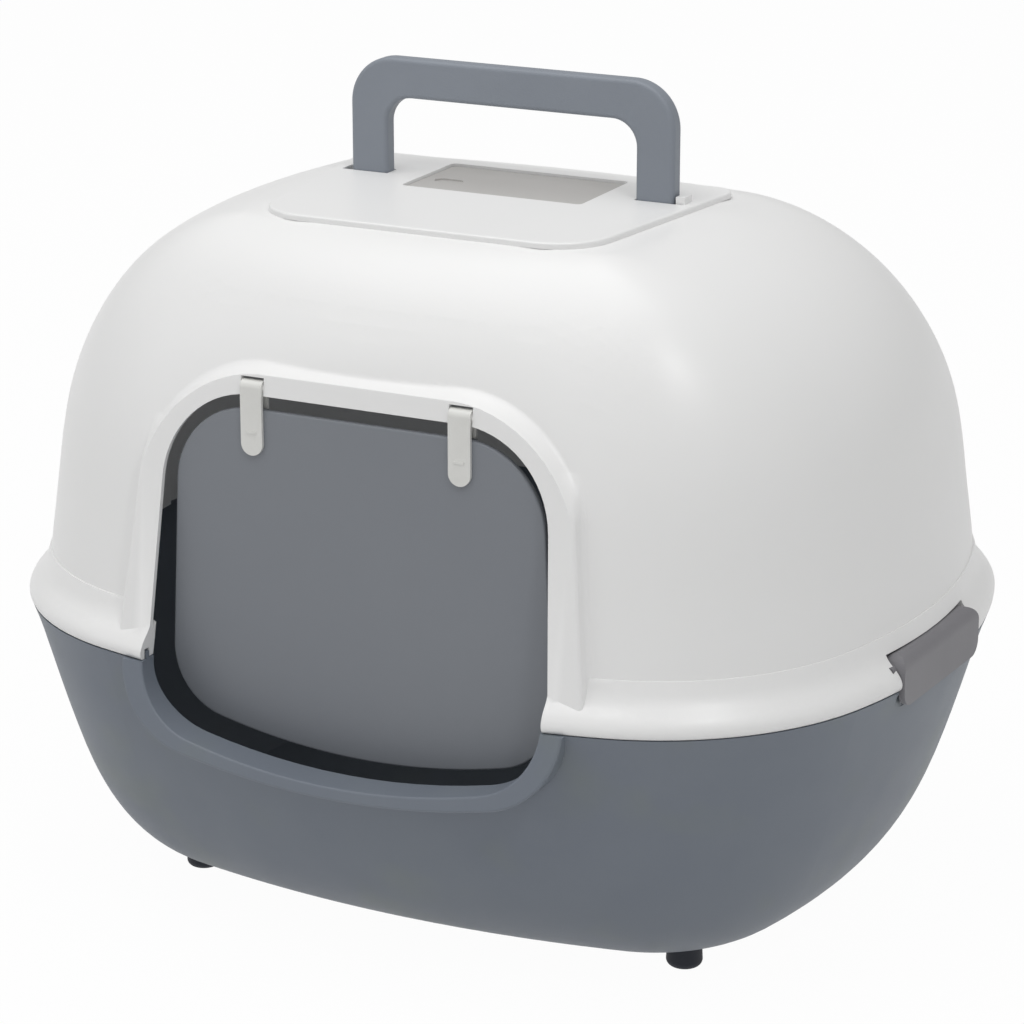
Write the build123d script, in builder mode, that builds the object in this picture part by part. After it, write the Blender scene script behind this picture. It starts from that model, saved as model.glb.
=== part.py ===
from build123d import *
import os
from math import atan, cos, hypot, radians, sin, sqrt

# Hooded litter box. Millimetres, +Z up, +X to the right seen from the door side,
# the door in the -Y side. The origin is on the floor, below the middle of the rim.

# ---------------------------------------------------------------- driving sizes
wall = 2.6                  # moulded wall thickness
fit_gap = 0.3               # gap between separate pieces that rest together
cut_past = 10.0             # cuts run this far past the faces they open

# The plan of the rim, over its bead
rim_half_x = 255.0
rim_half_y = 208.0
side_bow_radius = 317.0     # the left and right sides of the plan bow outwards
front_bow_radius = 592.0    # so do the front and the back, more gently
rim_corner_radius = 138.0

# Heights above the floor
pan_bottom_z = 14.0         # underside of the pan, clear of the floor on its feet
seam_z = 158.5              # top of the pan's rim
crown_start_z = 248.0       # the hood's wall begins to curve in here
plateau_z = 374.0           # flat top of the hood
hood_bottom_z = seam_z + fit_gap

# Carry handle, and the plate on the flat top that it stands on
handle_half = 93.5
handle_leg = 21.4
handle_bar = 21.0
handle_depth = 10.0
handle_rise = 65.0          # above the flat top
handle_outer_radius = 25.0
handle_inner_radius = 14.0
handle_slot_extra = 5.5
plate_thickness = 3.2
plate_front_y = -111.0
plate_back_y = 43.0
plate_half_front = handle_half - 1.5
plate_half_back = handle_half + 17.0

# Filter window in the plate
window_half_x = 51.9
window_half_y = 30.0
window_back_margin = 10.3
window_y = plate_back_y - window_back_margin - window_half_y

# Hood wall: a slight draft, then a quarter-ellipse crown up to the flat top, which
# reaches past the plate on every side.
hood_wall_inset = 9.5       # wall behind the rim's outline at the seam
hood_draft = 0.14           # further inset for each millimetre of height
crown_cut = 1.0             # the flat top cuts the crown this far below its pole
corner_tightening = 0.92    # the plan's corners tighten as the crown comes in
crown_height = plateau_z - crown_start_z + crown_cut
plateau_half_x = plate_half_back + 1.5
plateau_front_y = plate_front_y - 2.8
plateau_back_y = plate_back_y + 14.0

# Doorway, and the portal frame that leans back with the front of the hood
portal_lean = 0.12          # millimetres back for each millimetre of height
portal_proud = 1.3          # the portal's face, carried down to the floor, stands before the rim
portal_rise = 1.3           # its sides run up this much for each millimetre back into the dome
portal_border_foot = 16.0   # frame outside the doorway, at its foot
portal_border_top = 10.5    # beside its top corners
portal_border_head = 12.8   # and above it
portal_corner_radius = 64.0
portal_edge_radius = 2.2    # rounding of the portal's front edge
door_half_foot = 115.5
door_half_top = 105.0
door_top_z = 300.0
door_top_radius = 50.0
portal_foot_y = -(rim_half_y + portal_proud)
portal_half_foot = door_half_foot + portal_border_foot
portal_half_top = door_half_top + portal_border_top
portal_top_z = door_top_z + portal_border_head
portal_foot_z = hood_bottom_z + 3.0
portal_reach = 22.0         # how far back into the dome the portal runs

# The pan's dipped entry, and the collar round it
entry_half = door_half_foot - 3.5
entry_sill_z = seam_z - 44.5    # lowest point of the entry's curved sill
entry_sill_rise = 18.0      # the sill curves up this much at its ends
entry_radius = 38.0
entry_top_z = seam_z + 25.0
collar_width = 6.5          # band round the entry that stands out in front
collar_side_width = 12.0    # and is wider up its two sides
collar_front_y = -(rim_half_y - 0.4)
collar_back_y = collar_front_y + 19.6
collar_lean = 0.2
collar_foot_z = entry_sill_z - collar_width


# ---------------------------------------------------------------- shared outlines
def bowed_corner(half_x, half_y):
    """Where the bowed side meets the bowed front, in the first quarter of the plan."""
    front_centre = half_y - front_bow_radius
    side_centre = half_x - side_bow_radius
    apart = hypot(side_centre, front_centre)
    along = (front_bow_radius**2 - side_bow_radius**2 + apart**2) / (2 * apart)
    across = sqrt(front_bow_radius**2 - along**2)
    toward = Vector(side_centre, -front_centre) / apart
    corner = Vector(0, front_centre) + toward * along - Vector(-toward.Y, toward.X) * across
    return corner.X, corner.Y


def plan(z, half_x, half_y, corner_radius, centre_y=0.0):
    """The bowed, round-cornered plan of the box, on the level z."""
    x, y = bowed_corner(half_x, half_y)
    with BuildSketch(Plane((0, centre_y, z))) as section:
        with BuildLine():
            ThreePointArc((-x, -y), (0, -half_y), (x, -y))
            ThreePointArc((x, -y), (half_x, 0), (x, y))
            ThreePointArc((x, y), (0, half_y), (-x, y))
            ThreePointArc((-x, y), (-half_x, 0), (-x, -y))
        make_face()
        fillet(section.vertices(), corner_radius)
    return section.sketch


def rim_plan(z, inset):
    """The rim's own outline, moved inwards by inset."""
    return plan(z, rim_half_x - inset, rim_half_y - inset, rim_corner_radius - inset)


def wall_inset(z):
    """How far the hood's drafted wall stands inside the rim's outline at z."""
    return hood_wall_inset + hood_draft * (z - seam_z)


def crown_share(z):
    """How far the quarter ellipse of the crown has come in at z, from 0 towards 1."""
    rise = max(0.0, (z - crown_start_z) / crown_height)
    return 1 - sqrt(1 - rise**2)


# Reach of the whole quarter ellipse on the sides, at the front and at the back.
plateau_share = crown_share(plateau_z)
crown_reach_side = (rim_half_x - wall_inset(plateau_z) - plateau_half_x) / plateau_share
crown_reach_front = (rim_half_y - wall_inset(plateau_z) + plateau_front_y) / plateau_share
crown_reach_back = (rim_half_y - wall_inset(plateau_z) - plateau_back_y) / plateau_share


def crown_slope(z):
    """Inset gained for each millimetre of height at z, on the sides."""
    rise = max(0.0, (z - crown_start_z) / crown_height)
    return hood_draft + crown_reach_side / crown_height * rise / sqrt(1 - rise**2)


def hood_section(z, depth=0.0):
    """Section of the hood at z, or of the surface that lies depth inside it there."""
    share = crown_share(z)
    slope = crown_slope(z)
    lean = sqrt(1 + slope**2)
    inset = wall_inset(z) + depth / lean
    half_x = rim_half_x - inset - crown_reach_side * share
    half_y = rim_half_y - inset - (crown_reach_front + crown_reach_back) / 2 * share
    centre_y = -(crown_reach_back - crown_reach_front) / 2 * share
    corner_radius = rim_corner_radius - corner_tightening * (rim_half_x - half_x)
    return plan(z - depth * slope / lean, half_x, half_y, corner_radius, centre_y)


# Levels of the hood's sections: three up the wall, then closer and closer up the crown.
wall_levels = [hood_bottom_z + (crown_start_z - hood_bottom_z) * part / 3 for part in range(3)]
crown_levels = [crown_start_z + crown_height * part
                for part in (0.0, 0.2, 0.39, 0.56, 0.705, 0.82, 0.906, 0.96)]
hood_levels = wall_levels + crown_levels + [plateau_z]


def portal_plane(depth=0.0):
    """The leaning plane of the portal's face, or the plane that lies depth behind it."""
    lean_angle = atan(portal_lean)
    normal = Vector(0, -cos(lean_angle), sin(lean_angle))
    origin = Vector(0, portal_foot_y, 0) - normal * depth
    return Plane(origin=origin, x_dir=(1, 0, 0), z_dir=normal)


def portal_outline(inset, foot_z):
    """Outline of the portal on its leaning plane, moved in and back by inset."""
    foot = portal_half_foot - inset
    top = portal_half_top - inset
    with BuildSketch(portal_plane(inset)) as outline:
        with BuildLine():
            Polyline((-foot, foot_z), (foot, foot_z), (top, portal_top_z - inset),
                     (-top, portal_top_z - inset), close=True)
        make_face()
        fillet(outline.vertices().group_by(Axis.Y)[-1], portal_corner_radius - inset)
    return outline.sketch


def portal_block(inset, foot_z):
    """Block behind that outline, running up as it runs back into the dome."""
    with BuildPart() as block:
        extrude(portal_outline(inset, foot_z), amount=portal_reach * hypot(1, portal_rise),
                dir=(0, 1, portal_rise))
    return block.part


def doorway(y):
    """Outline of the hood's doorway, upright at y."""
    foot_z = entry_sill_z
    with BuildSketch(Plane.XZ.offset(-y)) as outline:
        with BuildLine():
            Polyline((-door_half_foot, foot_z), (door_half_foot, foot_z),
                     (door_half_top, door_top_z), (-door_half_top, door_top_z), close=True)
        make_face()
        fillet(outline.vertices().group_by(Axis.Y)[-1], door_top_radius)
    return outline.sketch


def entry(y, grow=0.0, grow_sides=0.0):
    """Outline of the pan's dipped entry, upright at y, grown downwards and to the sides."""
    half = entry_half + grow_sides
    sill = entry_sill_z - grow
    end_z = sill + entry_sill_rise
    with BuildSketch(Plane.XZ.offset(-y)) as outline:
        with BuildLine():
            ThreePointArc((-half, end_z), (0, sill), (half, end_z))
            Polyline((half, end_z), (half, entry_top_z), (-half, entry_top_z), (-half, end_z))
        make_face()
        fillet(outline.vertices().group_by(Axis.Y)[0], entry_radius + grow)
    return outline.sketch


def on_both_sides(x):
    """The same place to the right and to the left."""
    return (x, -x)


# ---------------------------------------------------------------- side latches: shared sizes
latch_turn = 3.4            # each latch sits this many degrees towards the front, round the bow
latch_half_length = 47.0
latch_leaf = 3.2
latch_knuckle_radius = 7.2
latch_outer_x = rim_half_x - 2.6
latch_inner_x = latch_outer_x - latch_leaf
latch_pivot_x = latch_outer_x - latch_knuckle_radius
latch_pivot_z = seam_z + 10.1
latch_toe_z = seam_z - 9.0          # lower edge of the leaf
latch_corner_radius = 8.0           # its four corners, seen from the side
latch_foot_gap = 1.5                # room under the leaf's lower edge
trunnion_radius = 2.5
trunnion_length = 3.6
trunnion_running_gap = 0.08
recess_x = latch_inner_x - 1.7      # flat on the pan that the leaf closes over
recess_half = latch_half_length + 1.5
keeper_x = recess_x - 2.1           # depth of the groove the latch's toe snaps into
keeper_half = latch_half_length - 12.4
keeper_slope = 1.727                # the groove's roof is steep, so that the toe can swing out
toe_x = keeper_x + 0.5
toe_half = keeper_half - 0.6
toe_bottom_z = latch_toe_z + 2.5
side_bow_axis = Axis((rim_half_x - side_bow_radius, 0, 0), (0, 0, 1))


def at_latch(piece, side):
    """The piece turned round the side's bow to the latch's place, on the right or the left."""
    turned = piece.rotate(side_bow_axis, -latch_turn)
    return turned if side > 0 else turned.mirror(Plane.YZ)



# ---------------------------------------------------------------- pan
pan_profile = ((pan_bottom_z, 77.0), (pan_bottom_z + 7, 64.0), (pan_bottom_z + 17, 52.5),
               (pan_bottom_z + 32, 41.0), (pan_bottom_z + 54, 30.0), (pan_bottom_z + 86, 19.0),
               (seam_z - 24.5, 9.0), (seam_z, 1.0))     # height, and inset from the rim's outline
rim_depth = 11.6            # the rim is this thick, from the outline inwards
lip_outer_inset = 4.6       # locating lip on the rim, inside the hood's groove
lip_inner_inset = 7.4
lip_height = 4.0
collar_round = 1.2          # soft edges of the collar's face
foot_x = rim_half_x - 111.0
foot_y = rim_half_y - 116.6
foot_radius = 9.5
foot_socket_radius = 4.05
foot_socket_depth = 10.0
foot_boss_radius = 8.0


def inside_of(profile, depth):
    """The same wall line, moved inwards by depth, square to the wall."""
    moved = []
    for index, (z, inset) in enumerate(profile):
        low_z, low_inset = profile[max(index - 1, 0)]
        high_z, high_inset = profile[min(index + 1, len(profile) - 1)]
        run = hypot(high_z - low_z, high_inset - low_inset)
        moved.append((z + depth * (low_inset - high_inset) / run, inset + depth * (high_z - low_z) / run))
    return moved


pan_inside = inside_of(pan_profile, wall)[:-1] + [(seam_z + 0.1, rim_depth)]

with BuildPart() as collar:
    extrude(entry(collar_back_y, collar_width, collar_side_width),
            amount=collar_back_y - collar_front_y + cut_past)
    collar_angle = atan(collar_lean)
    split(bisect_by=Plane(origin=(0, collar_front_y, collar_foot_z), x_dir=(1, 0, 0),
                          z_dir=(0, -cos(collar_angle), sin(collar_angle))), keep=Keep.BOTTOM)
    extrude(entry(collar_back_y), amount=collar_back_y - collar_front_y + cut_past,
            mode=Mode.SUBTRACT)
    split(bisect_by=Plane.XY.offset(seam_z), keep=Keep.BOTTOM)
    collar_face = collar.faces().sort_by(Axis.Y)[0]
    fillet(collar_face.edges().sort_by(Axis.Z)[:-2], collar_round)

# Cut away for a latch: a flat recess behind its leaf, a gap in the lip, and the keeper groove.
with BuildPart() as latch_seat:
    with BuildSketch(Plane.XY.offset(latch_toe_z - latch_foot_gap)):
        with Locations((recess_x + cut_past / 2, 0)):
            Rectangle(cut_past, 2 * recess_half)
    extrude(amount=seam_z - latch_toe_z + latch_foot_gap + cut_past)
    with BuildSketch(Plane.XY.offset(seam_z)):
        with Locations((rim_half_x, 0)):
            Rectangle(2 * rim_depth, 2 * recess_half + 4)
    extrude(amount=cut_past)
    with BuildSketch(Plane.XZ):
        roof_z = toe_bottom_z + 0.6
        with BuildLine():
            Polyline((keeper_x, toe_bottom_z - 0.6), (keeper_x, roof_z),
                     (keeper_x + 5, roof_z + 5 * keeper_slope),
                     (keeper_x + 5, toe_bottom_z - 0.6), close=True)
        make_face()
    extrude(amount=keeper_half, both=True)

with BuildPart() as base_pan:
    loft([rim_plan(z, inset) for z, inset in pan_profile])
    loft([rim_plan(z, inset) for z, inset in pan_inside], mode=Mode.SUBTRACT)
    with BuildSketch(Plane.XY.offset(seam_z - wall)):
        add(rim_plan(0, lip_outer_inset))
        add(rim_plan(0, lip_inner_inset), mode=Mode.SUBTRACT)
    extrude(amount=wall + lip_height)
    extrude(entry(0), amount=rim_half_y + cut_past, mode=Mode.SUBTRACT)
    add(collar.part)

    # Bosses with a blind hole each, for the stems of the feet.
    with BuildSketch(Plane.XY.offset(pan_bottom_z + wall / 2)):
        with GridLocations(2 * foot_x, 2 * foot_y, 2, 2):
            Circle(foot_boss_radius)
    extrude(amount=foot_socket_depth + wall / 2)
    with BuildSketch(Plane.XY.offset(pan_bottom_z)):
        with GridLocations(2 * foot_x, 2 * foot_y, 2, 2):
            Circle(foot_socket_radius)
    extrude(amount=foot_socket_depth, mode=Mode.SUBTRACT)

    for side in on_both_sides(1):
        add(at_latch(latch_seat.part, side), mode=Mode.SUBTRACT)
base_pan.part.label = "base_pan"

# Four push-in rubber feet: a round pad with a soft lower edge, and a stem with a lead-in.
foot_names = ("foot_front_left", "foot_front_right", "foot_back_left", "foot_back_right")
foot_places = ((-foot_x, -foot_y), (foot_x, -foot_y), (-foot_x, foot_y), (foot_x, foot_y))
foot_top_z = pan_bottom_z - 0.1
stem_top_z = pan_bottom_z + foot_socket_depth - 0.5
foot_stem_radius = foot_socket_radius - 0.1
feet = []
for foot_name, (place_x, place_y) in zip(foot_names, foot_places):
    with BuildPart() as foot:
        with BuildSketch(Plane(origin=(place_x, place_y, 0), x_dir=(1, 0, 0), z_dir=(0, -1, 0))):
            with BuildLine():
                Polyline((0, 0), (foot_radius - 3.5, 0))
                ThreePointArc((foot_radius - 3.5, 0), (foot_radius - 1.1, 1.0), (foot_radius, 3.5))
                Polyline((foot_radius, 3.5), (foot_radius - 0.5, foot_top_z),
                         (foot_stem_radius, foot_top_z), (foot_stem_radius, stem_top_z - 1),
                         (foot_stem_radius - 0.9, stem_top_z), (0, stem_top_z), (0, 0))
            make_face()
        revolve(axis=Axis((place_x, place_y, 0), (0, 0, 1)))
    foot.part.label = foot_name
    feet.append(foot.part)

# ---------------------------------------------------------------- hood
# The bead round the hood's foot: height above the seam, and inset from the rim's outline.
bead_profile = ((0.0, 1.8), (1.3, 0.5), (3.4, 0.0), (7.0, 1.2), (10.5, 3.8), (13.5, 6.8),
                (16.5, 9.0), (19.5, 10.5), (22.5, 11.5), (26.0, 12.6))
portal_blend_radius = 4.0   # hollow blend between the portal and the dome
groove_outer_inset = lip_outer_inset - 0.6
groove_inner_inset = lip_inner_inset + 0.6
groove_depth = lip_height + 1.0
pocket_back_x = latch_pivot_x - latch_knuckle_radius - 0.8
pocket_half = latch_half_length + 0.7
pocket_top_z = latch_pivot_z + latch_knuckle_radius + 0.6
housing_half = pocket_half + wall
housing_top_z = pocket_top_z + wall
housing_corner_radius = 6.0
slot_half_depth = handle_depth / 2 + 0.4
slot_inner_x = handle_half - handle_leg - fit_gap
slot_outer_x = handle_half + handle_slot_extra
vent_half_x = window_half_x - 2.0
vent_half_y = window_half_y - 2.0

# Hinge of the flap: two bars in notches of the lintel, and the clips that hook over them
hinge_z = door_top_z + 3.5
hinge_y = portal_foot_y + portal_lean * hinge_z + 2.08
hinge_bar_radius = 2.0
hinge_running_gap = 0.08
clip_x = 57.8
clip_width = 12.0
clip_leaf = 1.8
clip_hole_radius = hinge_bar_radius + hinge_running_gap
clip_outer_radius = clip_hole_radius + clip_leaf
notch_half = clip_width / 2 + 0.5
notch_top_z = hinge_z + clip_outer_radius + 1.6
notch_height = 16.0
notch_back_y = hinge_y + 12.0

# Peg for the scoop, on the bowed left side
peg_z = seam_z + 70.5
peg_turn = 13.7             # degrees towards the front, round the side's bow
peg_radius = 11.0
peg_proud = 3.2
peg_seat = 0.6
peg_stem_radius = 3.0


def handle_slots():
    """Two long slots for the legs of the handle."""
    for side in on_both_sides(1):
        with Locations((side * (slot_inner_x + slot_outer_x) / 2, 0)):
            Rectangle(slot_outer_x - slot_inner_x, 2 * slot_half_depth)


def peg_plane(depth=0.0):
    """Plane square to the hood where the peg stands, depth inside the surface."""
    level = Vector(-cos(radians(peg_turn)), -sin(radians(peg_turn)), 0)
    bow_centre_x = -(rim_half_x - wall_inset(peg_z) - side_bow_radius)
    normal = (level + Vector(0, 0, hood_draft)).normalized()
    surface = Vector(bow_centre_x, 0, peg_z) + level * side_bow_radius
    return Plane(origin=surface - normal * depth, z_dir=normal)


inner_levels = [hood_bottom_z - 1] + hood_levels[1:]

# A latch hangs in a pocket with a bearing hole at each end, and a housing walls it off inside.
with BuildPart() as latch_pocket:
    with BuildSketch(Plane.XY.offset(hood_bottom_z - 1)):
        with Locations((pocket_back_x + cut_past, 0)):
            Rectangle(2 * cut_past, 2 * pocket_half)
    extrude(amount=pocket_top_z - hood_bottom_z + 1)
    with BuildSketch(Plane.XZ):
        with Locations((latch_pivot_x, latch_pivot_z)):
            Circle(trunnion_radius + trunnion_running_gap)
    extrude(amount=latch_half_length + trunnion_length + 0.5, both=True)

with BuildPart() as latch_housing:
    with BuildSketch(Plane.XY.offset(hood_bottom_z)):
        with Locations((pocket_back_x - wall + cut_past, 0)):
            Rectangle(2 * cut_past, 2 * housing_half)
    extrude(amount=housing_top_z - hood_bottom_z)
    fillet(latch_housing.edges().filter_by(Axis.X).group_by(Axis.Z)[-1], housing_corner_radius)

with BuildPart() as housings:
    for side in on_both_sides(1):
        add(at_latch(latch_housing.part, side))
    loft([rim_plan(z, wall_inset(z) + wall / 2) for z in (hood_bottom_z, housing_top_z)],
         mode=Mode.INTERSECT)

with BuildPart() as portal:
    add(portal_block(0, portal_foot_z))
    portal_face = portal.faces().sort_by(Axis.Y)[0]
    fillet(portal_face.edges().sort_by(Axis.Z)[1:], portal_edge_radius)

with BuildPart() as hood:
    # The shell: the dome with the portal blended into its front, and the bead round its foot.
    loft([hood_section(z) for z in hood_levels])
    extrude(portal_outline(0, portal_foot_z - cut_past), amount=4 * cut_past, mode=Mode.SUBTRACT)
    add(portal.part)
    blend_edges = [edge for edge in hood.edges().filter_by(GeomType.BSPLINE)
                   if portal_edge_radius
                   < edge.center().Y - portal_foot_y - portal_lean * edge.center().Z < portal_reach
                   and abs(edge.center().X) < portal_half_foot
                   and portal_foot_z + portal_reach < edge.center().Z
                   and edge.length < portal_top_z - seam_z]
    fillet(blend_edges, portal_blend_radius)
    loft([rim_plan(hood_bottom_z + rise, inset) for rise, inset in bead_profile])

    # One open space inside.
    loft([hood_section(z, wall) for z in inner_levels], mode=Mode.SUBTRACT)
    add(portal_block(wall, portal_foot_z + 4 * wall), mode=Mode.SUBTRACT)
    add(housings.part)
    extrude(doorway(0), amount=rim_half_y + cut_past, mode=Mode.SUBTRACT)

    # Groove in the foot of the bead for the pan's locating lip.
    with BuildSketch(Plane.XY.offset(hood_bottom_z)):
        add(rim_plan(0, groove_outer_inset))
        add(rim_plan(0, groove_inner_inset), mode=Mode.SUBTRACT)
    extrude(amount=groove_depth, mode=Mode.SUBTRACT)

    for side in on_both_sides(1):
        add(at_latch(latch_pocket.part, side), mode=Mode.SUBTRACT)

    # Flat top: the vent over the filter and the slots for the handle.
    with BuildSketch(Plane.XY.offset(plateau_z - 2 * wall)):
        with Locations((0, window_y)):
            RectangleRounded(2 * vent_half_x, 2 * vent_half_y, 4)
        handle_slots()
    extrude(amount=3 * wall, mode=Mode.SUBTRACT)

    # Two notches in the lintel, each crossed by the bar that carries a clip.
    with BuildSketch(Plane.XZ.offset(-notch_back_y)):
        for side in on_both_sides(1):
            with Locations((side * clip_x, notch_top_z - notch_height / 2)):
                Rectangle(2 * notch_half, notch_height)
    extrude(amount=3 * cut_past, mode=Mode.SUBTRACT)
    for side in on_both_sides(1):
        with BuildSketch(Plane.YZ.offset(side * clip_x)):
            with Locations((hinge_y, hinge_z)):
                Circle(hinge_bar_radius)
        extrude(amount=notch_half + wall, both=True)

    # Flat round seat and hole for the peg on the left side.
    with BuildSketch(peg_plane(peg_seat)):
        Circle(peg_radius + fit_gap)
    extrude(amount=cut_past, mode=Mode.SUBTRACT)
    with BuildSketch(peg_plane(3 * wall)):
        Circle(peg_stem_radius + 0.1)
    extrude(amount=cut_past, mode=Mode.SUBTRACT)
hood.part.label = "hood"

# ---------------------------------------------------------------- top plate, handle and filter
plate_front_radius = 30.0
plate_back_radius = 11.0
plate_edge_round = 1.2
snap_tab_height = 3.6
snap_tab_x = slot_outer_x - (handle_slot_extra - 1) / 2 + 0.5

with BuildPart() as top_plate:
    with BuildSketch(Plane.XY.offset(plateau_z)) as plate_outline:
        with BuildLine():
            Polyline((-plate_half_front, plate_front_y), (plate_half_front, plate_front_y),
                     (plate_half_back, plate_back_y), (-plate_half_back, plate_back_y), close=True)
        make_face()
        fillet(plate_outline.vertices().group_by(Axis.Y)[0], plate_front_radius)
        fillet(plate_outline.vertices().group_by(Axis.Y)[-1], plate_back_radius)
    extrude(amount=plate_thickness)
    fillet(top_plate.faces().sort_by(Axis.Z)[-1].edges(), plate_edge_round)
    with BuildSketch(Plane.XY.offset(plateau_z)):
        with Locations((0, window_y)):
            RectangleRounded(2 * window_half_x, 2 * window_half_y, 3)
        handle_slots()
    extrude(amount=plate_thickness, mode=Mode.SUBTRACT)
    # The tab that springs back behind the right leg once the handle is pushed in.
    with BuildSketch(Plane.XY.offset(plateau_z)):
        with Locations((snap_tab_x, 0)):
            Rectangle(handle_slot_extra - 0.5, handle_depth - 1)
    extrude(amount=plate_thickness + snap_tab_height)
top_plate.part.label = "top_plate"

handle_top_z = plateau_z + handle_rise
handle_foot_z = plateau_z - wall - 6
handle_edge_round = 2.4
barb_reach = 1.8
barb_top_z = plateau_z - wall - 0.5

with BuildPart() as carry_handle:
    with BuildSketch(Plane.XZ) as handle_outline:
        with BuildLine():
            Polyline((-handle_half, handle_foot_z), (handle_half, handle_foot_z),
                     (handle_half, handle_top_z), (-handle_half, handle_top_z), close=True)
        make_face()
        fillet(handle_outline.vertices().group_by(Axis.Y)[-1], handle_outer_radius)
        inner_half = handle_half - handle_leg
        inner_top_z = handle_top_z - handle_bar
        with BuildSketch(mode=Mode.SUBTRACT) as grip:
            with BuildLine():
                Polyline((-inner_half, handle_foot_z), (inner_half, handle_foot_z),
                         (inner_half, inner_top_z), (-inner_half, inner_top_z), close=True)
            make_face()
            fillet(grip.vertices().group_by(Axis.Y)[-1], handle_inner_radius)
    extrude(amount=handle_depth / 2, both=True)
    fillet(carry_handle.faces().filter_by(Plane.XZ).edges(), handle_edge_round)
    # A barb on the outside of each foot holds it under the flat top.
    for side in on_both_sides(1):
        with BuildSketch(Plane.XZ):
            with BuildLine():
                Polyline((side * (handle_half - 3), handle_foot_z + 0.5),
                         (side * (handle_half - 0.5), handle_foot_z + 0.5),
                         (side * (handle_half + barb_reach), barb_top_z),
                         (side * (handle_half - 3), barb_top_z), close=True)
            make_face()
        extrude(amount=handle_depth / 2 - 2, both=True)
carry_handle.part.label = "carry_handle"

tray_flange = 4.0
tray_flange_thickness = 1.6
tray_top_z = plateau_z - wall - fit_gap
tray_depth = 11.0
tray_bottom_z = tray_top_z - tray_depth
tray_wall = 1.8
tray_slot_count = 11
tray_slot_pitch = 8.4
tray_slot_width = 4.6

with BuildPart() as filter_tray:
    with BuildSketch(Plane.XY.offset(tray_bottom_z)):
        with Locations((0, window_y)):
            RectangleRounded(2 * vent_half_x, 2 * vent_half_y, 4)
    extrude(amount=tray_depth)
    with BuildSketch(Plane.XY.offset(tray_top_z - tray_flange_thickness)):
        with Locations((0, window_y)):
            RectangleRounded(2 * (vent_half_x + tray_flange), 2 * (vent_half_y + tray_flange), 6)
    extrude(amount=tray_flange_thickness)
    with BuildSketch(Plane.XY.offset(tray_bottom_z + tray_wall)):
        with Locations((0, window_y)):
            RectangleRounded(2 * (vent_half_x - tray_wall), 2 * (vent_half_y - tray_wall), 3)
    extrude(amount=tray_depth, mode=Mode.SUBTRACT)
    with BuildSketch(Plane.XY.offset(tray_bottom_z)):
        with Locations((0, window_y)):
            with GridLocations(tray_slot_pitch, 1, tray_slot_count, 1):
                SlotOverall(2 * vent_half_y - 12, tray_slot_width, rotation=90)
    extrude(amount=tray_wall, mode=Mode.SUBTRACT)
filter_tray.part.label = "filter_tray"

filter_thickness = 7.0
filter_gap = 0.8

with BuildPart() as carbon_filter:
    with BuildSketch(Plane.XY.offset(tray_bottom_z + tray_wall + 0.1)):
        with Locations((0, window_y)):
            RectangleRounded(2 * (vent_half_x - tray_wall - filter_gap),
                             2 * (vent_half_y - tray_wall - filter_gap), 3)
    extrude(amount=filter_thickness)
    fillet(carbon_filter.faces().sort_by(Axis.Z)[-1].edges(), 1)
carbon_filter.part.label = "carbon_filter"

cover_thickness = 1.6
cover_bottom_z = plateau_z + 0.1
cover_skirt = 1.5
notch_x = -37.0             # finger notch in the cover
notch_y = window_y - 4.0
finger_notch_depth = 0.8

with BuildPart() as filter_cover:
    with BuildSketch(Plane.XY.offset(cover_bottom_z)):
        with Locations((0, window_y)):
            RectangleRounded(2 * (window_half_x - fit_gap), 2 * (window_half_y - fit_gap), 2.7)
    extrude(amount=cover_thickness)
    # A shallow skirt drops into the vent and keeps the cover from sliding about.
    with BuildSketch(Plane.XY.offset(plateau_z - wall)):
        with Locations((0, window_y)):
            RectangleRounded(2 * (vent_half_x - 0.5), 2 * (vent_half_y - 0.5), 3.5)
            RectangleRounded(2 * (vent_half_x - 0.5 - cover_skirt),
                             2 * (vent_half_y - 0.5 - cover_skirt), 2, mode=Mode.SUBTRACT)
    extrude(amount=wall + 0.5)
    with BuildSketch(Plane.XY.offset(cover_bottom_z + cover_thickness - finger_notch_depth)):
        with Locations((notch_x, notch_y)):
            SlotOverall(16, 8)
    extrude(amount=cut_past, mode=Mode.SUBTRACT)
filter_cover.part.label = "filter_cover"

# ---------------------------------------------------------------- peg on the left side
stem_length = wall - peg_seat + 3.4

with BuildPart() as scoop_peg:
    with BuildSketch(peg_plane(peg_seat - 0.1)):
        Circle(peg_radius)
    extrude(amount=peg_proud + peg_seat)
    fillet(scoop_peg.faces().sort_by(Axis.X)[0].edges(), 1.6)
    with BuildSketch(peg_plane(peg_seat - 0.2)):
        Circle(peg_stem_radius)
    extrude(amount=-stem_length)
    with BuildSketch(peg_plane(wall + 0.6)):
        Circle(peg_stem_radius + 1)
    extrude(amount=-(stem_length - wall), taper=18)
scoop_peg.part.label = "scoop_peg"

# ---------------------------------------------------------------- flap and clips
flap_thickness = 2.6
flap_gap = 2.6              # between the flap's edges and the doorway
flap_edge_round = 1.2       # soft front edge
flap_top_z = door_top_z - 7.5
flap_bottom_z = entry_sill_z + 2.2
flap_front_y = hinge_y - clip_hole_radius + 0.08
flap_back_y = flap_front_y + flap_thickness
flap_end_z = flap_bottom_z + entry_sill_rise
flap_half_foot = entry_half - flap_gap
flap_half_top = door_half_top - flap_gap - 1.4
flap_top_radius = 44.0
clip_front_y = hinge_y - clip_outer_radius
clip_bottom_z = hinge_z - 34.5
clip_back_z = flap_top_z - 7.5
pad_thickness = hinge_y + clip_hole_radius - 0.08 - flap_back_y

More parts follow.
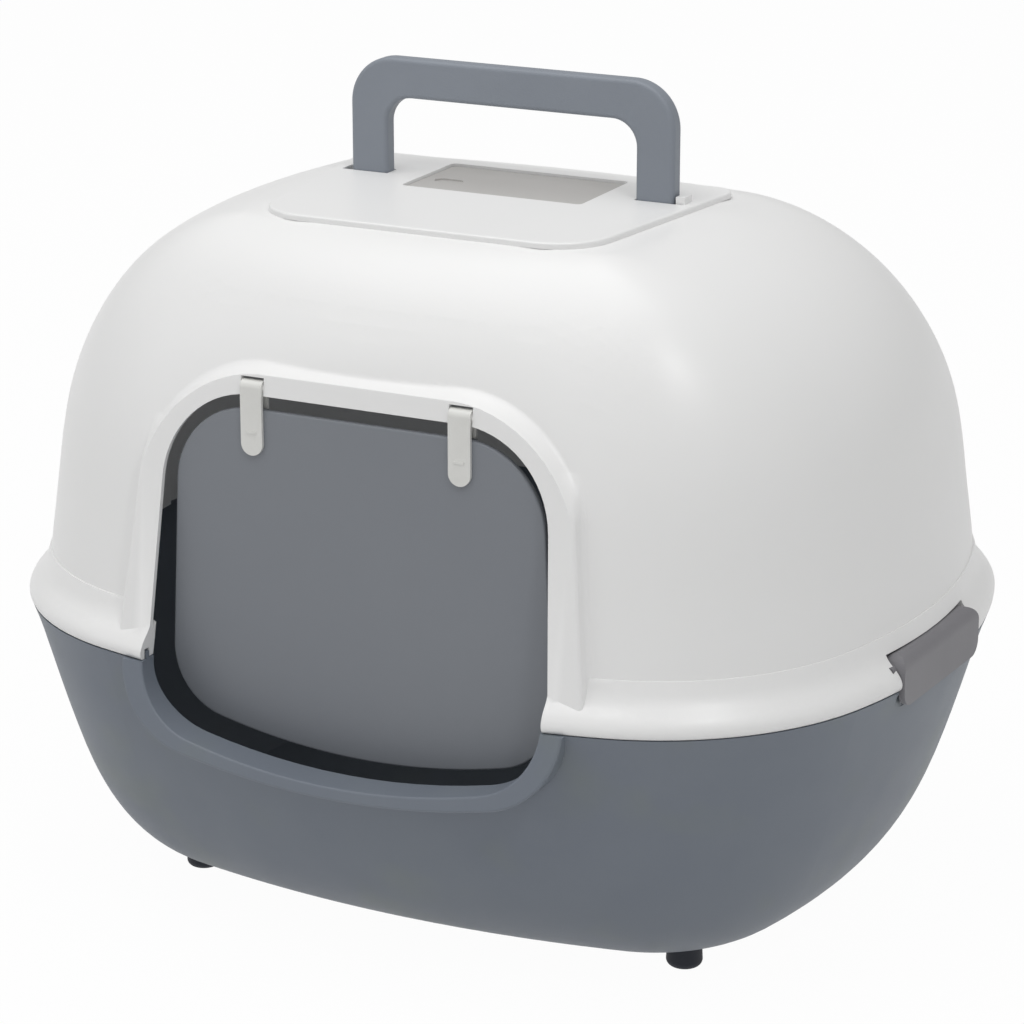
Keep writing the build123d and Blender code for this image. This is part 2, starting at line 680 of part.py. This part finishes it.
with BuildPart() as door_flap:
    with BuildSketch(Plane.XZ.offset(-flap_back_y)) as flap_outline:
        with BuildLine():
            ThreePointArc((-flap_half_foot, flap_end_z), (0, flap_bottom_z), (flap_half_foot, flap_end_z))
            Polyline((flap_half_foot, flap_end_z), (flap_half_top, flap_top_z),
                     (-flap_half_top, flap_top_z), (-flap_half_foot, flap_end_z))
        make_face()
        fillet(flap_outline.vertices().group_by(Axis.Y)[0], entry_radius - flap_gap)
        fillet(flap_outline.vertices().group_by(Axis.Y)[-1], flap_top_radius)
    extrude(amount=flap_thickness)
    fillet(door_flap.faces().sort_by(Axis.Y)[0].edges(), flap_edge_round)
    # A pad behind each clip takes up the width of the clip's mouth.
    with BuildSketch(Plane.XZ.offset(-flap_back_y)):
        for side in on_both_sides(1):
            with Locations((side * clip_x, (clip_back_z + flap_top_z) / 2)):
                Rectangle(clip_width + 2, flap_top_z - clip_back_z)
    extrude(amount=-pad_thickness)
door_flap.part.label = "door_flap"


def hanging_clip(middle_x, name):
    """Clip that hooks over its bar and grips the flap between two leaves."""
    with BuildPart() as clip:
        with BuildSketch(Plane.YZ.offset(middle_x)):
            with Locations((hinge_y, hinge_z)):
                Circle(clip_outer_radius)
            with Locations((clip_front_y + clip_leaf / 2, (hinge_z + clip_bottom_z) / 2)):
                Rectangle(clip_leaf, hinge_z - clip_bottom_z)
            with Locations((hinge_y + clip_outer_radius - clip_leaf / 2, (hinge_z + clip_back_z) / 2)):
                Rectangle(clip_leaf, hinge_z - clip_back_z)
            with Locations((hinge_y, hinge_z)):
                Circle(clip_hole_radius, mode=Mode.SUBTRACT)
        extrude(amount=clip_width / 2, both=True)
        # Round end of the front leaf, and the small moulded bar across it.
        with BuildSketch(Plane.XZ.offset(-clip_front_y - clip_leaf)):
            with Locations((middle_x, clip_bottom_z)):
                Rectangle(clip_width, clip_width)
            with Locations((middle_x, clip_bottom_z + clip_width / 2)):
                Circle(clip_width / 2, mode=Mode.SUBTRACT)
        extrude(amount=clip_leaf, mode=Mode.SUBTRACT)
        with BuildSketch(Plane.XZ.offset(-clip_front_y)):
            with Locations((middle_x, clip_bottom_z + clip_width)):
                Rectangle(clip_width / 2 - 0.5, 1.2)
        extrude(amount=0.4)
    clip.part.label = name
    return clip.part


clips = [hanging_clip(-clip_x, "door_clip_left"), hanging_clip(clip_x, "door_clip_right")]

# ---------------------------------------------------------------- latches
knuckle_foot_z = latch_pivot_z - latch_knuckle_radius
web_foot_z = knuckle_foot_z - 3.0   # the knuckle runs down into the leaf
toe_root_x = latch_inner_x + 0.5

with BuildPart() as latch:
    with BuildSketch(Plane.XZ):
        with BuildLine():
            Polyline((latch_pivot_x, knuckle_foot_z), (latch_inner_x, web_foot_z),
                     (latch_inner_x, latch_toe_z), (latch_outer_x, latch_toe_z),
                     (latch_outer_x, latch_pivot_z))
            ThreePointArc((latch_outer_x, latch_pivot_z),
                          (latch_pivot_x - latch_knuckle_radius * sqrt(0.5),
                           latch_pivot_z + latch_knuckle_radius * sqrt(0.5)),
                          (latch_pivot_x, knuckle_foot_z))
        make_face()
    extrude(amount=latch_half_length, both=True)
    latch_top_z = latch_pivot_z + latch_knuckle_radius
    with BuildSketch(Plane.YZ):
        with Locations((0, (latch_toe_z + latch_top_z) / 2)):
            RectangleRounded(2 * latch_half_length, latch_top_z - latch_toe_z, latch_corner_radius)
    extrude(amount=rim_half_x + cut_past, mode=Mode.INTERSECT)
    # The toe's ridge on the inside is shorter than the leaf.
    with BuildSketch(Plane.XZ):
        with BuildLine():
            Polyline((toe_root_x, toe_bottom_z + (toe_root_x - toe_x) * keeper_slope),
                     (toe_x, toe_bottom_z + 0.6), (toe_x, toe_bottom_z), (toe_root_x, toe_bottom_z),
                     close=True)
        make_face()
    extrude(amount=toe_half, both=True)
    with BuildSketch(Plane.XZ):
        with Locations((latch_pivot_x, latch_pivot_z)):
            Circle(trunnion_radius)
    extrude(amount=latch_half_length + trunnion_length, both=True)

latches = []
for latch_name, side in (("latch_right", 1), ("latch_left", -1)):
    latch_piece = at_latch(latch.part, side)
    latch_piece.label = latch_name
    latches.append(latch_piece)

# ---------------------------------------------------------------- export
pieces = [base_pan.part, hood.part, top_plate.part, carry_handle.part, filter_tray.part,
          carbon_filter.part, filter_cover.part, scoop_peg.part, door_flap.part]

os.makedirs("parts", exist_ok=True)
for piece in pieces + feet + clips + latches:
    export_step(piece, f"parts/{piece.label}.step")
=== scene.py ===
from math import cos, hypot, radians, sin

import bmesh
import bpy
import numpy as np
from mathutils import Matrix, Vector
from mathutils.bvhtree import BVHTree


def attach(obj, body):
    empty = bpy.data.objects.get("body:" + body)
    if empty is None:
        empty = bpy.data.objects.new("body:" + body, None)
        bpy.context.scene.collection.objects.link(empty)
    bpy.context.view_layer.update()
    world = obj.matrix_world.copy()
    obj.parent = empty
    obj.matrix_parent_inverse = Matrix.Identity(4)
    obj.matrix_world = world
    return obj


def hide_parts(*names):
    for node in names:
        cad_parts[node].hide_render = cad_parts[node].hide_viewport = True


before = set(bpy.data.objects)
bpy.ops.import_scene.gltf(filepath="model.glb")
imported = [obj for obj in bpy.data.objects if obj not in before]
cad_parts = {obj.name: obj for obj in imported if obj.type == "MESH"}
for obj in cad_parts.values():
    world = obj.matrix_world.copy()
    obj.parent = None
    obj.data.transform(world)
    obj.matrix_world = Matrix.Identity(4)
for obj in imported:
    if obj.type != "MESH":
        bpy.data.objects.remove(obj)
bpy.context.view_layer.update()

# ------------------------------------------------------------------ pan
# The deep lower pan, moulded in one piece of blue-grey polypropylene.
# The tool leaves a fine satin grain, and the pigment lies in faint olive and blue clouds.


def linear(red, green, blue):
    """Linear colour of an sRGB colour whose channels run from 0 to 255."""
    channels = [channel / 255 for channel in (red, green, blue)]
    return [c / 12.92 if c <= 0.04045 else ((c + 0.055) / 1.055) ** 2.4 for c in channels] + [1.0]


def new_finish(name):
    """A new material: the material itself, its shader, its nodes and its links."""
    material = bpy.data.materials.new(name)
    material.use_nodes = True
    nodes = material.node_tree.nodes
    return material, nodes["Principled BSDF"], nodes, material.node_tree.links


def noise(nodes, links, place, scale, detail):
    """Noise over the piece itself; scale is in cells per metre."""
    texture = nodes.new("ShaderNodeTexNoise")
    texture.inputs["Scale"].default_value = scale
    texture.inputs["Detail"].default_value = detail
    links.new(place.outputs["Object"], texture.inputs["Vector"])
    return texture


def tinted(nodes, links, factor, dark, light):
    """A colour between dark and light, by a texture's factor."""
    mix = nodes.new("ShaderNodeMix")
    mix.data_type = "RGBA"
    mix.inputs["A"].default_value = dark
    mix.inputs["B"].default_value = light
    links.new(factor, mix.inputs["Factor"])
    return mix


grain_height = 0.0002           # metres, from the grain's hollows to its tops
gloss_patches = 38.0            # duller and shinier patches, in cells per metre
gloss_spread = 0.05             # and how far the roughness strays in them


def moulded(name, dark, light, roughness, grain, grain_scale=1400.0, cloud_scale=9.0):
    """Moulded plastic: clouds of colour from dark to light, uneven gloss and the tool's grain."""
    material, shader, nodes, links = new_finish(name)
    place = nodes.new("ShaderNodeTexCoord")
    clouds = noise(nodes, links, place, cloud_scale, 5.0)
    tint = tinted(nodes, links, clouds.outputs["Fac"], dark, light)
    links.new(tint.outputs["Result"], shader.inputs["Base Color"])
    patches = noise(nodes, links, place, gloss_patches, 3.0)
    gloss = nodes.new("ShaderNodeMapRange")
    gloss.inputs["To Min"].default_value = roughness - gloss_spread
    gloss.inputs["To Max"].default_value = roughness + gloss_spread
    links.new(patches.outputs["Fac"], gloss.inputs["Value"])
    links.new(gloss.outputs["Result"], shader.inputs["Roughness"])
    tool_grain = noise(nodes, links, place, grain_scale, 2.0)
    bump = nodes.new("ShaderNodeBump")
    bump.inputs["Strength"].default_value = grain
    bump.inputs["Distance"].default_value = grain_height
    links.new(tool_grain.outputs["Fac"], bump.inputs["Height"])
    links.new(bump.outputs["Normal"], shader.inputs["Normal"])
    return material


def finish_piece(node, material):
    """Give one piece of the box its finish."""
    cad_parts[node].data.materials.clear()
    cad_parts[node].data.materials.append(material)


olive = linear(118, 126, 119)
smear_scale = 21.0              # olive smears in the pigment, in cells per metre
smear_share_most = 0.35         # how much of the colour they take at most
pan_plastic = moulded("pan_plastic", linear(105, 112, 124), linear(118, 125, 133), 0.52, 0.35,
                      cloud_scale=14.0)
nodes, links = pan_plastic.node_tree.nodes, pan_plastic.node_tree.links
place = nodes.new("ShaderNodeTexCoord")
smears = noise(nodes, links, place, smear_scale, 2.0)
smear_share = nodes.new("ShaderNodeMapRange")
smear_share.inputs["From Min"].default_value = 0.55
smear_share.inputs["From Max"].default_value = 0.75
smear_share.inputs["To Max"].default_value = smear_share_most
links.new(smears.outputs["Fac"], smear_share.inputs["Value"])
pan_shader = nodes["Principled BSDF"]
clouded = pan_shader.inputs["Base Color"].links[0].from_socket
smeared = tinted(nodes, links, smear_share.outputs["Result"], olive, olive)
links.new(clouded, smeared.inputs["A"])
links.new(smeared.outputs["Result"], pan_shader.inputs["Base Color"])
finish_piece("base_pan", pan_plastic)

# ------------------------------------------------------------------ feet
# Four round push-in feet of dark blue-black rubber, dull and a little rough,
# pressed into bosses under the pan.
foot_rubber = moulded("foot_rubber", linear(24, 28, 38), linear(38, 43, 54), 0.66, 0.6,
                      grain_scale=700.0, cloud_scale=60.0)
for corner in ("front_left", "front_right", "back_left", "back_right"):
    finish_piece("foot_" + corner, foot_rubber)

# ------------------------------------------------------------------ hood
# The lift-off dome with the raised frame of the doorway, moulded in white polypropylene.
# Its polished tool leaves a soft gloss with a trace of orange peel. The upper corners of
# the frame sink into the dome along one even arch.
hood_plastic = moulded("hood_plastic", linear(232, 232, 231), linear(236, 236, 236), 0.36, 0.10,
                       grain_scale=420.0, cloud_scale=6.0)
hood_wall = 0.0026              # sizes and places are in metres
frame_foot_y = -0.2093          # the frame's face, carried down to the floor
frame_lean = 0.12               # and how far it leans back with height
frame_top_z = 0.3106            # top of the face
frame_half_top = 0.1155         # half its width beside the top corners
frame_flare = 0.1               # how much wider each side gets downwards
frame_corner_radius = 0.064
frame_reach = 0.028             # its sloping sides end within this distance of the face
frame_reach_near = 0.017        # and within this one above its middle and beside it
frame_horns_x = (0.03, 0.112)   # between the two its corners run far up the dome
frame_edge_steepness = 2.2      # how fast the even arch's edge drops back to the dome
frame_edge_hollow = 0.004       # reach of the hollow between the two
arch_foot_z = 0.258             # the even arch fades in from this height
arch_full_z = 0.282             # to this one
arch_top_z = 0.345
arch_half_width = 0.14
arch_back_y = -0.1
arch_reach = 0.034              # nothing moves farther outside the face than this
arch_fade = 0.005               # and all moves in full this much nearer
dome_reach = 0.055              # how far round the face the dome is read off
dome_places_x = np.linspace(-0.16, 0.16, 65)
dome_places_z = np.linspace(0.255, 0.3425, 36)
dome_half_height = 0.04         # height of the part that the dome's surface is fitted to
dome_powers = 4                 # and how many powers of each direction it uses
arch_step_x = 0.006             # its facets are cut along planes this far apart
arch_step_z = 0.004
arch_edge_gaps = (0.0, 0.001, 0.002, 0.003, 0.0045)     # and along the outline, this far outside it
arch_edge_turn = 6              # degrees from one such cut to the next round the corners
same_point = 2e-6               # corners nearer than this are one
crease_angle = radians(28)      # edges sharper than this stay crisp


def outside_frame(x, z):
    """How far a place on the front lies outside the frame's outline."""
    corner_x = frame_half_top + frame_flare * (frame_top_z - z) - frame_corner_radius
    corner_z = frame_top_z - frame_corner_radius
    return hypot(max(abs(x) - corner_x, 0.0), max(z - corner_z, 0.0)) - frame_corner_radius


def dome_terms(x, z):
    """Terms of the smooth, mirror-even surface that the front of the dome follows."""
    across, up = (x / arch_half_width) ** 2, (z - frame_top_z) / dome_half_height
    return [across ** i * up ** j for i in range(dome_powers) for j in range(dome_powers)]


def outer_skin_y(skin, x, z):
    """Depth at which a straight look from the door side meets the moulding."""
    return skin.ray_cast(Vector((x, -1.0, z)), Vector((0, 1, 0)))[0].y


def fitted_dome(skin):
    """Coefficients of the dome's front, read off the moulding all round the frame."""
    rows, depths = [], []
    for x in dome_places_x:
        for z in dome_places_z:
            gap = outside_frame(x, z)
            horns = frame_horns_x[0] < abs(x) < frame_horns_x[1]
            if (frame_reach if horns else frame_reach_near) < gap < dome_reach:
                rows.append(dome_terms(x, z))
                depths.append(outer_skin_y(skin, x, z))
    return np.linalg.lstsq(np.array(rows), np.array(depths), rcond=None)[0]


def evened_front(x, z, dome):
    """Depth of the outer skin: the dome, and the frame's edge dropping back to it."""
    dome_y = float(np.dot(dome_terms(x, z), dome))
    edge_y = frame_foot_y + frame_lean * z + frame_edge_steepness * max(outside_frame(x, z), 0.0)
    near = max(frame_edge_hollow - abs(dome_y - edge_y), 0.0) / frame_edge_hollow
    return min(dome_y, edge_y) - near * near * frame_edge_hollow / 4


def in_arch(face):
    """Whether a facet reaches into the arch's part of the front."""
    xs, ys, zs = zip(*(corner.co for corner in face.verts))
    return (min(ys) < arch_back_y and min(xs) < arch_half_width and max(xs) > -arch_half_width
            and max(zs) > arch_foot_z and min(zs) < arch_top_z)


def outline_cut(gap, turn, side):
    """A cut that touches the frame's outline, gap outside it and turn round its corner."""
    reach = frame_corner_radius + gap
    z = frame_top_z - frame_corner_radius + reach * sin(turn)
    x = frame_half_top + frame_flare * (frame_top_z - z) - frame_corner_radius + reach * cos(turn)
    return (side * x, 0, z), (side * cos(turn), 0, sin(turn) + frame_flare * cos(turn))


hood_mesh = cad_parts["hood"].data.copy()
hood_mesh.attributes.remove(hood_mesh.attributes["custom_normal"])
skin = BVHTree.FromPolygons([v.co for v in hood_mesh.vertices],
                            [tuple(p.vertices) for p in hood_mesh.polygons])
dome = fitted_dome(skin)
shell = bmesh.new()
shell.from_mesh(hood_mesh)
bmesh.ops.remove_doubles(shell, verts=shell.verts, dist=same_point)
arch_facets = [face for face in shell.faces if in_arch(face)]
arch_rims = dict.fromkeys(edge for face in arch_facets for edge in face.edges)
arch_corners = dict.fromkeys(corner for face in arch_facets for corner in face.verts)
arch_part = [*arch_facets, *arch_rims, *arch_corners]
cuts = [((x, 0, 0), (1, 0, 0)) for x in np.arange(-arch_half_width, arch_half_width, arch_step_x)]
cuts += [((0, 0, z), (0, 0, 1)) for z in np.arange(arch_foot_z, arch_top_z, arch_step_z)]
cuts += [outline_cut(gap, radians(turn), side) for gap in arch_edge_gaps
         for turn in range(0, 91, arch_edge_turn) for side in (-1, 1)]
for place, across in cuts:
    arch_part = bmesh.ops.bisect_plane(shell, geom=arch_part, dist=same_point / 2,
                                       plane_co=place, plane_no=across)["geom"]
for vertex in shell.verts:
    x, y, z = vertex.co
    gap = outside_frame(x, z)
    if abs(x) < arch_half_width and y < arch_back_y and arch_foot_z < z and 0.0 < gap < arch_reach:
        share = min((z - arch_foot_z) / (arch_full_z - arch_foot_z), (arch_reach - gap) / arch_fade, 1.0)
        inside = y > outer_skin_y(skin, x, z) + hood_wall / 2
        limit_y = evened_front(x, z, dome) + (hood_wall if inside else 0.0)
        vertex.co.y += share * max(limit_y - y, 0.0)
shell.to_mesh(hood_mesh)
shell.free()
hood_mesh.polygons.foreach_set("use_smooth", [True] * len(hood_mesh.polygons))
hood_mesh.set_sharp_from_angle(angle=crease_angle)
hood_shell = bpy.data.objects.new("hood_shell", hood_mesh)
bpy.context.scene.collection.objects.link(hood_shell)
hood_mesh.materials.clear()
hood_mesh.materials.append(hood_plastic)
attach(hood_shell, "hood")
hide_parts("hood")

# ------------------------------------------------------------------ top plate
# The flat plate round the handle and the vent, moulded apart in the same white plastic
# and snapped onto the top of the dome.
finish_piece("top_plate", hood_plastic)

# ------------------------------------------------------------------ carry handle
# The arched carrying handle, a thick moulding of grey polypropylene with a satin grain,
# its two legs locked into sockets in the top plate.
handle_plastic = moulded("handle_plastic", linear(126, 132, 141), linear(136, 142, 151), 0.5, 0.4,
                         cloud_scale=18.0)
finish_piece("carry_handle", handle_plastic)

# ------------------------------------------------------------------ vent, filter and cover
# A slotted white tray in the top holds a sheet of carbon felt, and a frosted grey cover
# with a finger notch lies over it in the recess.
finish_piece("filter_tray", hood_plastic)
carbon_felt = moulded("carbon_felt", linear(20, 20, 21), linear(42, 42, 42), 0.92, 1.0,
                      grain_scale=900.0, cloud_scale=160.0)
finish_piece("carbon_filter", carbon_felt)
frosted_cover = moulded("frosted_cover", linear(180, 178, 175), linear(188, 186, 184), 0.42, 0.35,
                        grain_scale=1800.0, cloud_scale=25.0)
finish_piece("filter_cover", frosted_cover)

# ------------------------------------------------------------------ flap and clips
# The swinging door is a smooth sheet of grey plastic. Two hooked clips of natural white
# plastic are pushed over its top edge and hang it on the bars of the hood.
flap_plastic = moulded("flap_plastic", linear(121, 125, 132), linear(126, 130, 136), 0.44, 0.2,
                       cloud_scale=7.0)
finish_piece("door_flap", flap_plastic)
clip_plastic = moulded("clip_plastic", linear(216, 216, 212), linear(226, 226, 223), 0.4, 0.25,
                       grain_scale=1000.0, cloud_scale=70.0)
for side in ("left", "right"):
    finish_piece("door_clip_" + side, clip_plastic)

# ------------------------------------------------------------------ latches and scoop peg
# Grey plastic latches hook over the rim on both sides, and a round grey peg
# on the left of the hood hangs a scoop.
latch_plastic = moulded("latch_plastic", linear(119, 118, 122), linear(128, 127, 131), 0.5, 0.4,
                        cloud_scale=30.0)
for node in ("latch_left", "latch_right", "scoop_peg"):
    finish_piece(node, latch_plastic)

# ------------------------------------------------------------------ studio floor
# A plain pale sheet under the box. It is near white to the eye, so that only the soft
# shadow of the box shows, and a matt grey-white to the light that it throws back.
floor_half_width = 14.0
floor_glow = 0.97               # how much of its own white the eye gets from it
floor_grid = bmesh.new()
bmesh.ops.create_grid(floor_grid, x_segments=1, y_segments=1, size=floor_half_width)
floor = bpy.data.objects.new("floor", bpy.data.meshes.new("floor"))
floor_grid.to_mesh(floor.data)
floor_grid.free()
bpy.context.scene.collection.objects.link(floor)
floor_sheet, shader, nodes, links = new_finish("floor_sheet")
shader.inputs["Base Color"].default_value = linear(228, 228, 228)
shader.inputs["Roughness"].default_value = 0.9
shader.inputs["Specular IOR Level"].default_value = 0.1


def either(nodes, links, first, second):
    """1 where one of two ray kinds is true, else 0."""
    larger = nodes.new("ShaderNodeMath")
    larger.operation = "MAXIMUM"
    links.new(first, larger.inputs[0])
    links.new(second, larger.inputs[1])
    return larger.outputs[0]


rays = nodes.new("ShaderNodeLightPath")
direct = either(nodes, links, rays.outputs["Is Camera Ray"], rays.outputs["Is Glossy Ray"])
seen = either(nodes, links, direct, rays.outputs["Is Transmission Ray"])
glow_share = nodes.new("ShaderNodeMath")
glow_share.operation = "MULTIPLY"
glow_share.inputs[1].default_value = floor_glow
links.new(seen, glow_share.inputs[0])
glow = nodes.new("ShaderNodeEmission")
glow.inputs["Strength"].default_value = 1.0
sheet_or_glow = nodes.new("ShaderNodeMixShader")
links.new(glow_share.outputs[0], sheet_or_glow.inputs[0])
links.new(shader.outputs[0], sheet_or_glow.inputs[1])
links.new(glow.outputs[0], sheet_or_glow.inputs[2])
links.new(sheet_or_glow.outputs[0], nodes["Material Output"].inputs["Surface"])
floor.data.materials.append(floor_sheet)

# ------------------------------------------------------------------ studio light
# White air all round, a wide soft box above, a fill from the left of the door, and a small
# key that draws the bright spot on the dome. A faint lamp inside stands for the light
# that comes through the hood's thin white wall.
air_level = 0.46                # of full white, as it lights the box
studio_air = bpy.data.worlds.new("studio_air")
bpy.context.scene.world = studio_air
studio_air.use_nodes = True
nodes, links = studio_air.node_tree.nodes, studio_air.node_tree.links
rays = nodes.new("ShaderNodeLightPath")
level = nodes.new("ShaderNodeMapRange")
level.inputs["To Min"].default_value = air_level
level.inputs["To Max"].default_value = 1.0
links.new(either(nodes, links, rays.outputs["Is Camera Ray"], rays.outputs["Is Transmission Ray"]),
          level.inputs["Value"])
links.new(level.outputs["Result"], nodes["Background"].inputs["Strength"])
nodes["Background"].inputs["Color"].default_value = (1.0, 1.0, 1.0, 1.0)


box_middle_z = 0.2


def add_lamp(name, kind, position, watts):
    """A studio lamp at a position, turned to the middle of the box."""
    lamp = bpy.data.lights.new(name, kind)
    lamp.energy = watts
    holder = bpy.data.objects.new(name, lamp)
    holder.location = position
    to_box = Vector((0, 0, box_middle_z)) - Vector(position)
    holder.rotation_euler = to_box.to_track_quat("-Z", "Y").to_euler()
    bpy.context.scene.collection.objects.link(holder)
    return lamp


add_lamp("light_above", "AREA", (-0.3, -0.5, 2.6), watts=34).size = 2.2
add_lamp("light_left", "AREA", (-2.2, -2.2, 1.2), watts=6).size = 1.6
add_lamp("light_key", "AREA", (1.5, -1.1, 2.1), watts=9).size = 0.35
add_lamp("light_inside", "POINT", (0.0, 0.0, 0.24), watts=0.1).shadow_soft_size = 0.09

# ------------------------------------------------------------------ camera
# A long lens in front of the right-hand front corner, a little above the box, so
# that the doorway, the right latch and the flat top are all in sight.
look_at = Vector((-0.00063, 0.0, 0.19739))
camera_turn = radians(26.46)
camera_rise = radians(17.89)
camera_distance = 1.86895
camera = bpy.data.objects.new("camera", bpy.data.cameras.new("camera"))
bpy.context.scene.collection.objects.link(camera)
camera.data.sensor_width = 36.0
camera.data.lens = 122.15
camera.data.clip_end = 60.0
camera.rotation_euler = (radians(90) - camera_rise, 0.0, camera_turn)
camera.location = look_at + camera.rotation_euler.to_matrix() @ Vector((0, 0, camera_distance))
bpy.context.scene.camera = camera
bpy.context.scene.view_settings.view_transform = "Standard"
